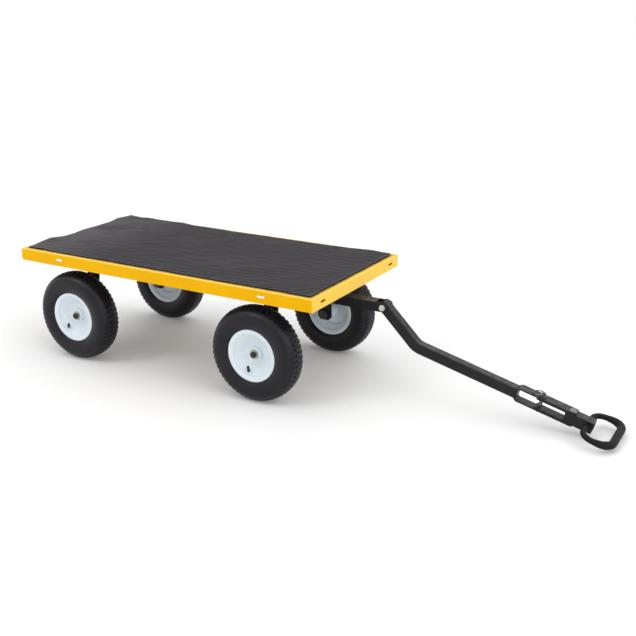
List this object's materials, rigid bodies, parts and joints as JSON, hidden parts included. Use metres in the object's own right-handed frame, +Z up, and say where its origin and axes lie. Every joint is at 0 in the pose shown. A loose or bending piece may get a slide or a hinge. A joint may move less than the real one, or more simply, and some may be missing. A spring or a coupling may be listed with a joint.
{
  "type": "utility wagon",
  "caption": "Flatbed garden wagon: steel tray deck with a rubber mat, turntable steering, pneumatic tyres and a hinged drawbar ending in a tow clevis with a hand loop.",
  "frame": {"origin": "centre of the overall footprint, on the floor", "axes": "+X forward along the drawbar, +Y to the wagon's left, +Z up"},
  "size_m": [2.1018, 0.61, 0.396],
  "materials": {
    "yellow_coat": "semi-gloss powder coat",
    "black_coat": "satin powder coat",
    "white_enamel": "gloss enamel",
    "mat_rubber": "matt ribbed rubber",
    "tyre_rubber": "matt black tyre rubber",
    "grip_rubber": "soft satin rubber",
    "valve_rubber": "matt rubber",
    "zinc_plate": "bright zinc plating",
    "yellow_zinc": "yellow passivated zinc",
    "bright_steel": "ground steel",
    "dark_steel": "black oxide steel",
    "wear_nylon": "natural nylon"
  },
  "bodies": {
    "chassis": {"deck_pan": "yellow_coat", "deck_mat": "mat_rubber", "crossmember_middle": "yellow_coat", "rear_axle_frame": "black_coat", "turntable_upper_plate": "black_coat", "turntable_wear_ring": "wear_nylon", "steering_stop_pins": "black_coat", "kingpin_bolt": "zinc_plate", "kingpin_washer": "zinc_plate", "kingpin_nut": "zinc_plate", "crossmember_rear_aft": "yellow_coat", "crossmember_rear_fore": "yellow_coat", "rear_frame_bolts": "zinc_plate", "rear_frame_nuts": "zinc_plate", "rear_stub_axles": "dark_steel", "rear_axle_washers": "yellow_zinc", "rear_axle_nuts": "dark_steel", "crossmember_front_aft": "yellow_coat", "crossmember_front_fore": "yellow_coat", "turntable_bolts": "zinc_plate", "turntable_nuts": "zinc_plate"},
    "steering": {"front_axle_frame": "black_coat", "front_stub_axles": "dark_steel", "front_axle_washers": "yellow_zinc", "front_axle_nuts": "dark_steel", "turntable_lower_plate": "black_coat", "tongue_tube": "black_coat", "hinge_bolt": "zinc_plate", "hinge_washers": "zinc_plate", "hinge_nut": "zinc_plate"},
    "drawbar": {"drawbar_tube": "black_coat", "hinge_bush": "bright_steel", "tow_clevis": "black_coat", "grip_yoke": "black_coat", "yoke_pivot_bolt": "zinc_plate", "yoke_pivot_nut": "zinc_plate", "hand_loop": "black_coat", "hand_grip": "grip_rubber"},
    "lock_pin": {"lock_pin": "zinc_plate", "lock_pin_ring": "zinc_plate"},
    "rear_left_wheel": {"rear_left_tyre": "tyre_rubber", "rear_left_rim": "white_enamel", "rear_left_hub": "white_enamel", "rear_left_bearings": "bright_steel", "rear_left_valve_stem": "valve_rubber"},
    "rear_right_wheel": {"rear_right_tyre": "tyre_rubber", "rear_right_rim": "white_enamel", "rear_right_hub": "white_enamel", "rear_right_bearings": "bright_steel", "rear_right_valve_stem": "valve_rubber"},
    "front_left_wheel": {"front_left_tyre": "tyre_rubber", "front_left_rim": "white_enamel", "front_left_hub": "white_enamel", "front_left_bearings": "bright_steel", "front_left_valve_stem": "valve_rubber"},
    "front_right_wheel": {"front_right_tyre": "tyre_rubber", "front_right_rim": "white_enamel", "front_right_hub": "white_enamel", "front_right_bearings": "bright_steel", "front_right_valve_stem": "valve_rubber"}
  },
  "joints": [
    {"name": "steering_turn", "type": "hinge", "parent": "chassis", "child": "steering", "pos_m": [-0.06388, 0, 0.324], "axis": [0, 0, 1], "range_deg": [-70, 70]},
    {"name": "drawbar_lift", "type": "hinge", "parent": "steering", "child": "drawbar", "pos_m": [0.26812, 0, 0.302], "axis": [0, -1, 0], "range_deg": [0, 105]},
    {"name": "lock_pin_pull", "type": "slide", "parent": "drawbar", "child": "lock_pin", "axis": [0.247, 0, 0.969], "range_m": [0, 0.065]},
    {"name": "rear_left_spin", "type": "hinge", "parent": "chassis", "child": "rear_left_wheel", "pos_m": [-0.83188, 0.26, 0.1615], "axis": [0, 1, 0], "continuous": true},
    {"name": "rear_right_spin", "type": "hinge", "parent": "chassis", "child": "rear_right_wheel", "pos_m": [-0.83188, -0.26, 0.1615], "axis": [0, 1, 0], "continuous": true},
    {"name": "front_left_spin", "type": "hinge", "parent": "steering", "child": "front_left_wheel", "pos_m": [-0.06388, 0.26, 0.1615], "axis": [0, 1, 0], "continuous": true},
    {"name": "front_right_spin", "type": "hinge", "parent": "steering", "child": "front_right_wheel", "pos_m": [-0.06388, -0.26, 0.1615], "axis": [0, 1, 0], "continuous": true}
  ]
}
